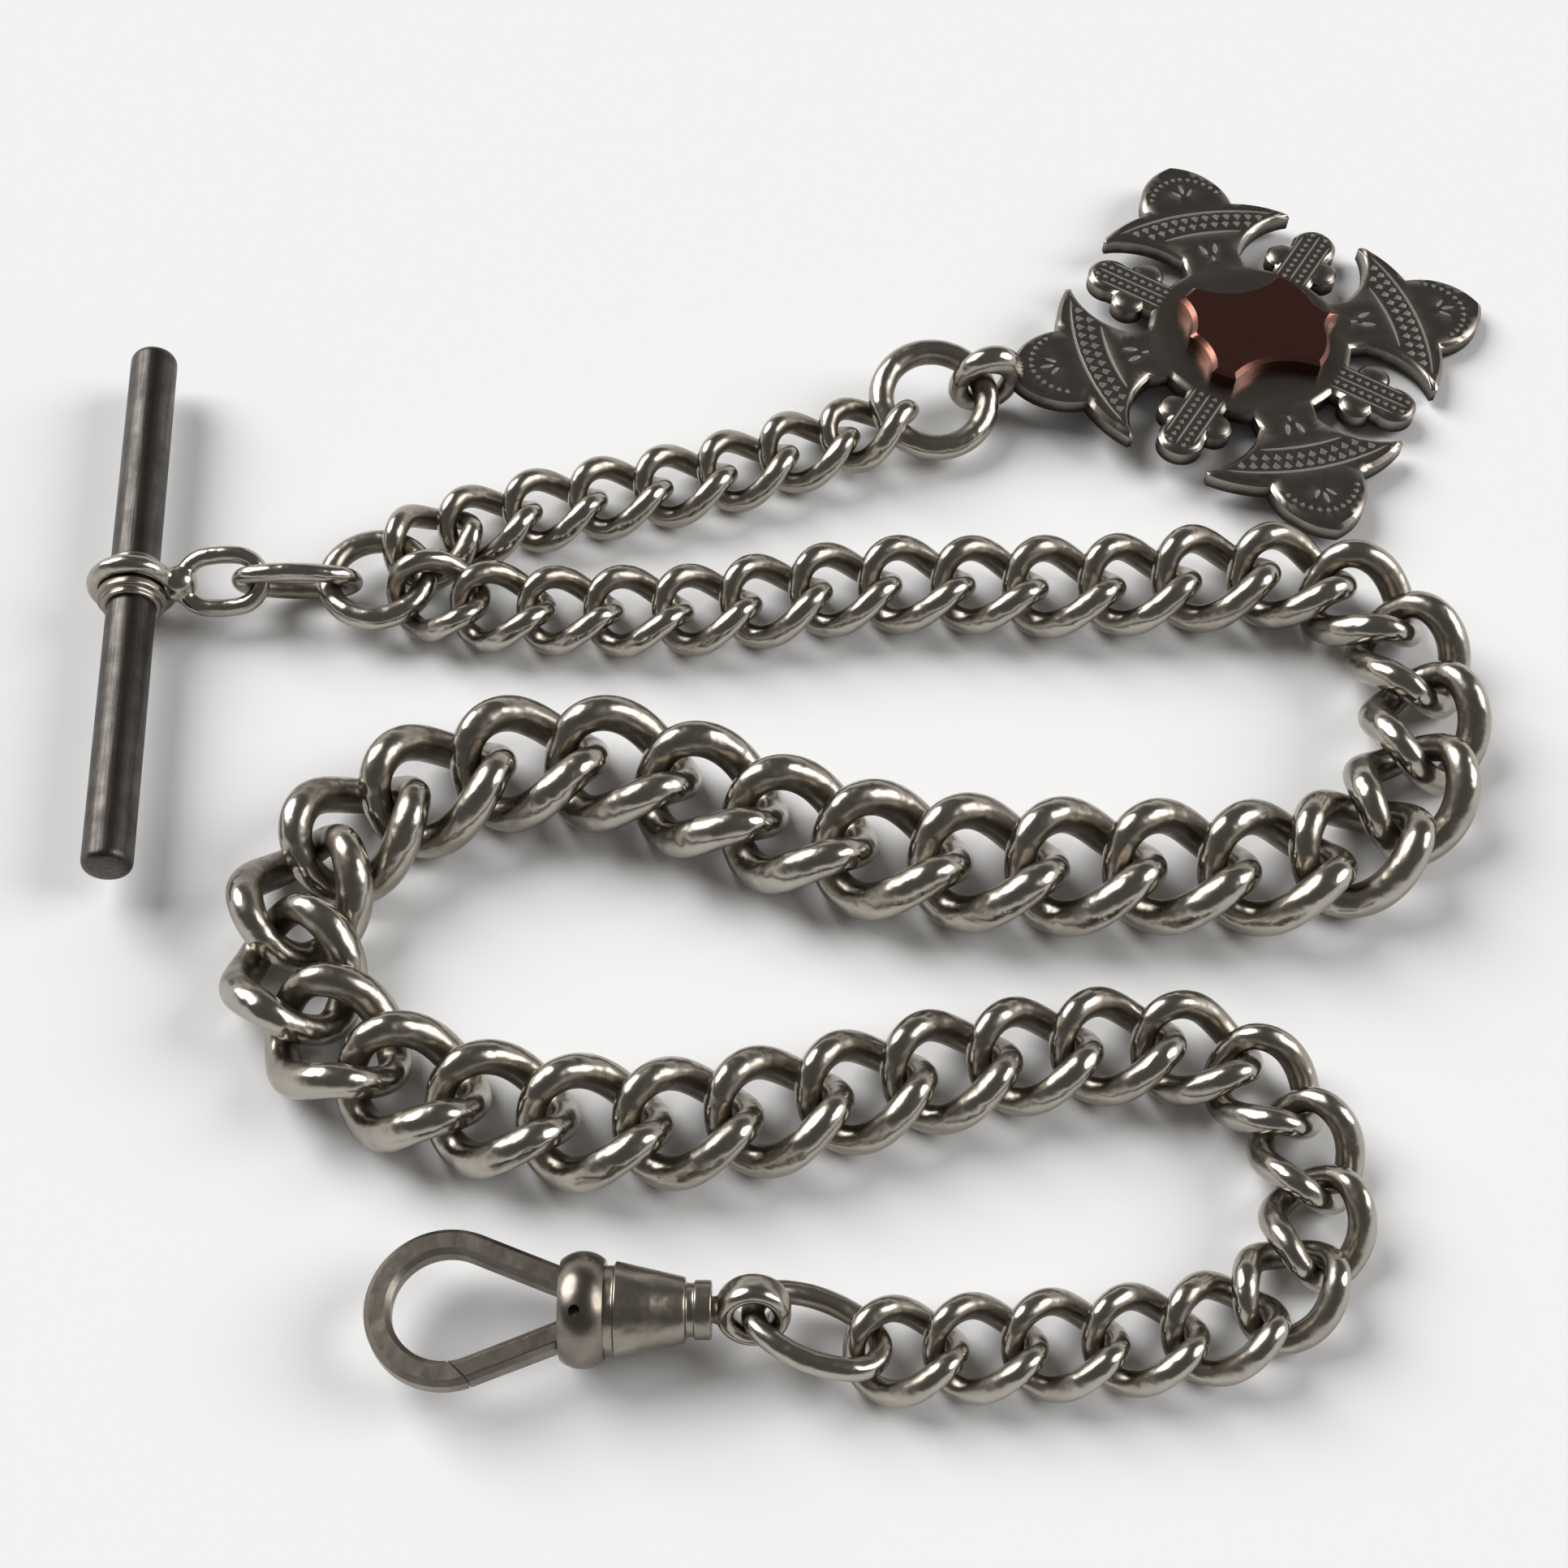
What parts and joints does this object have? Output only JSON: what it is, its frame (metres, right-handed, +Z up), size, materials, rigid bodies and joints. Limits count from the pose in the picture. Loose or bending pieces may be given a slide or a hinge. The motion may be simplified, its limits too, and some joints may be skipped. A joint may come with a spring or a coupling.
{
  "type": "pocket watch chain",
  "caption": "Graduated curb-link watch chain with T-bar, sprung swivel hook and a short drop that carries an engraved cross-shaped fob with a shield.",
  "frame": {"origin": "middle of the laid-out chain's footprint, on the table it lies on", "axes": "+Z up from the table, +X along the first row from the joining ring towards the fob's side, +Y across the rows from the swivel hook towards the fob"},
  "size_m": [0.0958, 0.0944, 0.0064],
  "materials": {
    "silver": "polished sterling silver, lightly tarnished",
    "aged_silver": "worn sterling silver, oxidised darker, fine brushing along the bar",
    "rose_gold": "polished rose gold",
    "spring_steel": "blued spring leaf"
  },
  "bodies": {
    "joining_ring": {"joining_ring": "silver"},
    "connector": {"oval_connector_link": "silver"},
    "shackle": {"t_bar_shackle": "silver"},
    "t_bar": {"t_bar": "aged_silver", "t_bar_near_collar": "silver", "t_bar_far_collar": "silver"},
    "link_01": {"curb_link_01": "silver"},
    "links_02_03": {"curb_links_02_03": "silver"},
    "links_04_05": {"curb_links_04_05": "silver"},
    "links_06_07": {"curb_links_06_07": "silver"},
    "links_08_09": {"curb_links_08_09": "silver"},
    "links_10_11": {"curb_links_10_11": "silver"},
    "links_12_13": {"curb_links_12_13": "silver"},
    "link_14": {"curb_link_14": "silver"},
    "link_15": {"curb_link_15": "silver"},
    "link_16": {"curb_link_16": "silver"},
    "link_17": {"curb_link_17": "silver"},
    "link_18": {"curb_link_18": "silver"},
    "links_19_20": {"curb_links_19_20": "silver"},
    "links_21_22": {"curb_links_21_22": "silver"},
    "links_23_24": {"curb_links_23_24": "silver"},
    "link_25": {"curb_link_25": "silver"},
    "link_26": {"curb_link_26": "silver"},
    "link_27": {"curb_link_27": "silver"},
    "link_28": {"curb_link_28": "silver"},
    "link_29": {"curb_link_29": "silver"},
    "link_30": {"curb_link_30": "silver"},
    "link_31": {"curb_link_31": "silver"},
    "link_32": {"curb_link_32": "silver"},
    "link_33": {"curb_link_33": "silver"},
    "links_34_35": {"curb_links_34_35": "silver"},
    "links_36_37": {"curb_links_36_37": "silver"},
    "links_38_39": {"curb_links_38_39": "silver"},
    "links_40_41": {"curb_links_40_41": "silver"},
    "link_42": {"curb_link_42": "silver"},
    "link_43": {"curb_link_43": "silver"},
    "link_44": {"curb_link_44": "silver"},
    "link_45": {"curb_link_45": "silver"},
    "link_46": {"curb_link_46": "silver"},
    "link_47": {"curb_link_47": "silver"},
    "links_48_49": {"curb_links_48_49": "silver"},
    "links_50_51": {"curb_links_50_51": "silver"},
    "swivel_link": {"swivel_oval_link": "silver"},
    "swivel_eye": {"swivel_eye": "silver"},
    "swivel_hook": {"swivel_barrel": "silver", "swivel_hook": "silver", "swivel_gate_pin": "silver", "swivel_gate_spring": "spring_steel"},
    "swivel_gate": {"swivel_gate": "silver"},
    "drop_1_2": {"drop_links_1_2": "silver"},
    "drop_3_4": {"drop_links_3_4": "silver"},
    "drop_5_6": {"drop_links_5_6": "silver"},
    "drop_7_8": {"drop_links_7_8": "silver"},
    "fob_ring": {"fob_ring": "silver"},
    "fob": {"fob_bail": "silver", "fob_cross": "silver", "fob_cartouche": "rose_gold"}
  },
  "joints": [
    {"name": "ring_to_connector", "type": "hinge", "parent": "joining_ring", "child": "connector", "pos_m": [-0.03231, 0.00808, 0.00237], "axis": [0.0698, -0.9976, 0], "range_deg": [-20, 20]},
    {"name": "connector_to_shackle", "type": "hinge", "parent": "connector", "child": "shackle", "pos_m": [-0.0379, 0.00758, 0.00321], "axis": [-0.1716, 0.3419, -0.9239], "range_deg": [-13, 20]},
    {"name": "t_bar_spin", "type": "hinge", "parent": "shackle", "child": "t_bar", "pos_m": [-0.04492, 0.0072, 0.00305], "axis": [-0.0698, 0.9976, 0], "continuous": true},
    {"name": "ring_to_link_01", "type": "hinge", "parent": "joining_ring", "child": "link_01", "pos_m": [-0.02634, 0.00681, 0.00237], "axis": [0.4695, 0.8829, 0], "range_deg": [0, 15]},
    {"name": "link_01_to_02", "type": "hinge", "parent": "link_01", "child": "links_02_03", "pos_m": [-0.02292, 0.00633, 0.0023], "axis": [0.1392, 0.9903, 0], "range_deg": [-12, 12]},
    {"name": "link_03_to_04", "type": "hinge", "parent": "links_02_03", "child": "links_04_05", "pos_m": [-0.01409, 0.00595, 0.00201], "axis": [-0.0175, -0.9998, 0], "range_deg": [-20, 20]},
    {"name": "link_05_to_06", "type": "hinge", "parent": "links_04_05", "child": "links_06_07", "pos_m": [-0.0051, 0.00643, 0.00208], "axis": [-0.1736, 0.9848, 0], "range_deg": [-20, 20]},
    {"name": "link_07_to_08", "type": "hinge", "parent": "links_06_07", "child": "links_08_09", "pos_m": [0.00403, 0.00803, 0.00216], "axis": [0.061, -0.9981, 0], "range_deg": [-20, 20]},
    {"name": "link_09_to_10", "type": "hinge", "parent": "links_08_09", "child": "links_10_11", "pos_m": [0.01363, 0.00778, 0.00225], "axis": [0.0262, 0.9997, 0], "range_deg": [-20, 20]},
    {"name": "link_11_to_12", "type": "hinge", "parent": "links_10_11", "child": "links_12_13", "pos_m": [0.02355, 0.00822, 0.00235], "axis": [0.1045, -0.9945, 0], "range_deg": [-20, 20]},
    {"name": "link_13_to_14", "type": "hinge", "parent": "links_12_13", "child": "link_14", "pos_m": [0.03364, 0.00795, 0.00245], "axis": [0, 0, 1], "range_deg": [0, 44]},
    {"name": "link_14_to_15", "type": "hinge", "parent": "link_14", "child": "link_15", "pos_m": [0.03736, 0.00436, 0.00251], "axis": [0, 0, 1], "range_deg": [0, 43]},
    {"name": "link_15_to_16", "type": "hinge", "parent": "link_15", "child": "link_16", "pos_m": [0.03855, -0.0008, 0.00256], "axis": [0, 0, 1], "range_deg": [0, 32]},
    {"name": "link_16_to_17", "type": "hinge", "parent": "link_16", "child": "link_17", "pos_m": [0.0377, -0.00615, 0.00261], "axis": [0, 0, 1], "range_deg": [0, 29]},
    {"name": "link_17_to_18", "type": "hinge", "parent": "link_17", "child": "link_18", "pos_m": [0.03513, -0.01099, 0.00266], "axis": [0, 0, 1], "range_deg": [0, 41]},
    {"name": "link_18_to_19", "type": "hinge", "parent": "link_18", "child": "links_19_20", "pos_m": [0.03038, -0.01384, 0.0027], "axis": [0, 0, 1], "range_deg": [0, 38]},
    {"name": "link_20_to_21", "type": "hinge", "parent": "links_19_20", "child": "links_21_22", "pos_m": [0.01891, -0.01393, 0.00277], "axis": [-0.0087, -1, 0], "range_deg": [-20, 20]},
    {"name": "link_22_to_23", "type": "hinge", "parent": "links_21_22", "child": "links_23_24", "pos_m": [0.00716, -0.01362, 0.00283], "axis": [0.1305, 0.9914, 0], "range_deg": [-20, 20]},
    {"name": "link_24_to_25", "type": "hinge", "parent": "links_23_24", "child": "link_25", "pos_m": [-0.00421, -0.01036, 0.00285], "axis": [-0.3987, -0.9171, 0], "range_deg": [-20, 20]},
    {"name": "link_25_to_26", "type": "hinge", "parent": "link_25", "child": "link_26", "pos_m": [-0.00956, -0.00775, 0.00285], "axis": [0.3584, 0.9336, 0], "range_deg": [-20, 20]},
    {"name": "link_26_to_27", "type": "hinge", "parent": "link_26", "child": "link_27", "pos_m": [-0.01525, -0.00612, 0.00284], "axis": [0, 0, -1], "range_deg": [0, 32]},
    {"name": "link_27_to_28", "type": "hinge", "parent": "link_27", "child": "link_28", "pos_m": [-0.02108, -0.00673, 0.00283], "axis": [0, 0, -1], "range_deg": [0, 30]},
    {"name": "link_28_to_29", "type": "hinge", "parent": "link_28", "child": "link_29", "pos_m": [-0.02634, -0.0093, 0.00281], "axis": [0, 0, -1], "range_deg": [0, 27]},
    {"name": "link_29_to_30", "type": "hinge", "parent": "link_29", "child": "link_30", "pos_m": [-0.03056, -0.01324, 0.00278], "axis": [0, 0, -1], "range_deg": [0, 40]},
    {"name": "link_30_to_31", "type": "hinge", "parent": "link_30", "child": "link_31", "pos_m": [-0.03223, -0.01868, 0.00275], "axis": [0, 0, -1], "range_deg": [0, 44]},
    {"name": "link_31_to_32", "type": "hinge", "parent": "link_31", "child": "link_32", "pos_m": [-0.03058, -0.02405, 0.00271], "axis": [0, 0, -1], "range_deg": [0, 42]},
    {"name": "link_32_to_33", "type": "hinge", "parent": "link_32", "child": "link_33", "pos_m": [-0.02637, -0.02771, 0.00266], "axis": [0, 0, -1], "range_deg": [0, 30]},
    {"name": "link_33_to_34", "type": "hinge", "parent": "link_33", "child": "links_34_35", "pos_m": [-0.02119, -0.02969, 0.00262], "axis": [0.284, 0.9588, 0], "range_deg": [-20, 20]},
    {"name": "link_35_to_36", "type": "hinge", "parent": "links_34_35", "child": "links_36_37", "pos_m": [-0.01043, -0.03112, 0.00252], "axis": [0.0262, -0.9997, 0], "range_deg": [-20, 20]},
    {"name": "link_37_to_38", "type": "hinge", "parent": "links_36_37", "child": "links_38_39", "pos_m": [-0.00006, -0.02939, 0.00241], "axis": [-0.2504, 0.9681, 0], "range_deg": [-20, 20]},
    {"name": "link_39_to_40", "type": "hinge", "parent": "links_38_39", "child": "links_40_41", "pos_m": [0.00979, -0.02684, 0.00231], "axis": [0.1908, -0.9816, 0], "range_deg": [-20, 20]},
    {"name": "link_41_to_42", "type": "hinge", "parent": "links_40_41", "child": "link_42", "pos_m": [0.01948, -0.02556, 0.00221], "axis": [0, 0, 1], "range_deg": [0, 32]},
    {"name": "link_42_to_43", "type": "hinge", "parent": "link_42", "child": "link_43", "pos_m": [0.02399, -0.02685, 0.00217], "axis": [0, 0, 1], "range_deg": [0, 44]},
    {"name": "link_43_to_44", "type": "hinge", "parent": "link_43", "child": "link_44", "pos_m": [0.02695, -0.03038, 0.00212], "axis": [0, 0, 1], "range_deg": [0, 38]},
    {"name": "link_44_to_45", "type": "hinge", "parent": "link_44", "child": "link_45", "pos_m": [0.02789, -0.03483, 0.00209], "axis": [0, 0, 1], "range_deg": [0, 34]},
    {"name": "link_45_to_46", "type": "hinge", "parent": "link_45", "child": "link_46", "pos_m": [0.02696, -0.03921, 0.00205], "axis": [0, 0, 1], "range_deg": [0, 44]},
    {"name": "link_46_to_47", "type": "hinge", "parent": "link_46", "child": "link_47", "pos_m": [0.02379, -0.04227, 0.00202], "axis": [0, 0, 1], "range_deg": [0, 40]},
    {"name": "link_47_to_48", "type": "hinge", "parent": "link_47", "child": "links_48_49", "pos_m": [0.01952, -0.04334, 0.00199], "axis": [0.165, -0.9863, 0], "range_deg": [-20, 20]},
    {"name": "link_49_to_50", "type": "hinge", "parent": "links_48_49", "child": "links_50_51", "pos_m": [0.01078, -0.04395, 0.00195], "axis": [-0.0436, 0.999, 0], "range_deg": [-20, 20]},
    {"name": "link_51_to_oval", "type": "hinge", "parent": "links_50_51", "child": "swivel_link", "pos_m": [0.00147, -0.04427, 0.00192], "axis": [0.0247, -0.7067, -0.7071], "range_deg": [-20, 4]},
    {"name": "oval_to_eye", "type": "hinge", "parent": "swivel_link", "child": "swivel_eye", "pos_m": [-0.00396, -0.04199, 0.00289], "axis": [-0.2708, -0.8676, 0.4172], "range_deg": [-20, 14]},
    {"name": "swivel_turn", "type": "hinge", "parent": "swivel_eye", "child": "swivel_hook", "pos_m": [-0.009, -0.04235, 0.00322], "axis": [-1, 0, 0], "continuous": true},
    {"name": "gate_swing", "type": "hinge", "parent": "swivel_hook", "child": "swivel_gate", "pos_m": [-0.0135, -0.0435, 0.00322], "axis": [0, 0, -1], "range_deg": [0, 28], "stiffness_Nm_per_rad": 0.0001, "springref_deg": -20.05},
    {"name": "ring_to_drop", "type": "hinge", "parent": "joining_ring", "child": "drop_1_2", "pos_m": [-0.02732, 0.0109, 0.00237], "axis": [-0.8192, 0.5736, 0], "range_deg": [-20, 0]},
    {"name": "drop_2_to_3", "type": "hinge", "parent": "drop_1_2", "child": "drop_3_4", "pos_m": [-0.01992, 0.0142, 0.00195], "axis": [0.2924, -0.9563, 0], "range_deg": [-12, 12]},
    {"name": "drop_4_to_5", "type": "hinge", "parent": "drop_3_4", "child": "drop_5_6", "pos_m": [-0.01118, 0.0163, 0.00195], "axis": [-0.2504, 0.9681, 0], "range_deg": [-12, 12]},
    {"name": "drop_6_to_7", "type": "hinge", "parent": "drop_5_6", "child": "drop_7_8", "pos_m": [-0.0027, 0.01922, 0.00195], "axis": [0.3665, -0.9304, 0], "range_deg": [-12, 12]},
    {"name": "drop_to_fob_ring", "type": "hinge", "parent": "drop_7_8", "child": "fob_ring", "pos_m": [0.00631, 0.02276, 0.00264], "axis": [0, 0, 1], "range_deg": [0, 12]},
    {"name": "fob_ring_to_fob", "type": "hinge", "parent": "fob_ring", "child": "fob", "pos_m": [0.0112, 0.02572, 0.00285], "axis": [-0.5121, 0.8192, 0.2582], "range_deg": [-8, 20]}
  ]
}
